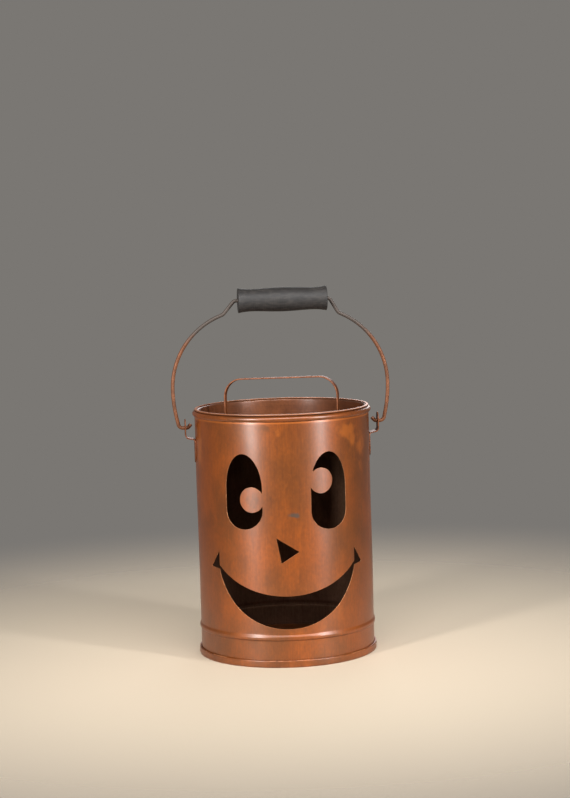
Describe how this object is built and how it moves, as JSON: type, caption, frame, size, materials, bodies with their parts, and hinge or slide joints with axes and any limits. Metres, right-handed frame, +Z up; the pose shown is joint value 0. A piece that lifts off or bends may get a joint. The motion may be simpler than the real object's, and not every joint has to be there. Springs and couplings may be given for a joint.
{
  "type": "candy pail",
  "caption": "Cylindrical copper-finished sheet-metal jack-o'-lantern pail with a cut-out face, swinging wire bail, turned wooden grip and a lift-out tray with a strap handle.",
  "frame": {"origin": "centre of the base ring, on the surface that the pail stands on", "axes": "+Z up, X along the hinge of the bail, the face looks towards -Y"},
  "size_m": [0.2392, 0.1946, 0.3983],
  "materials": {
    "copper_washed_sheet": "copper-washed steel sheet, satin, brushed upwards, with a worn brown patina",
    "copper_washed_strip": "copper-washed steel strip with bright worn edges",
    "tray_sheet": "copper-washed steel sheet, darker, with turning marks round it",
    "bail_steel_wire": "drawn steel wire, copper-brown, dark grey towards the grip",
    "rivet_steel": "copper-washed rivet",
    "blackened_wood": "turned hardwood, stained matt black"
  },
  "bodies": {
    "pail": {"pail_wall": "copper_washed_sheet", "pail_floor": "copper_washed_sheet", "ear_left": "copper_washed_strip", "ear_right": "copper_washed_strip"},
    "bail": {"bail_wire": "bail_steel_wire"},
    "grip": {"bail_grip": "blackened_wood"},
    "tray": {"tray_pan": "tray_sheet", "tray_strap": "copper_washed_strip", "tray_rivets": "rivet_steel"}
  },
  "joints": [
    {"name": "bail_swing", "type": "hinge", "parent": "pail", "child": "bail", "pos_m": [0, 0, 0.2484], "axis": [1, 0, 0], "range_deg": [-125, 125]},
    {"name": "grip_spin", "type": "hinge", "parent": "bail", "child": "grip", "pos_m": [0.0044, 0, 0.3847], "axis": [1, 0, 0], "continuous": true},
    {"name": "tray_lift", "type": "slide", "parent": "pail", "child": "tray", "axis": [0, 0, 1], "range_m": [0, 0.06]}
  ]
}
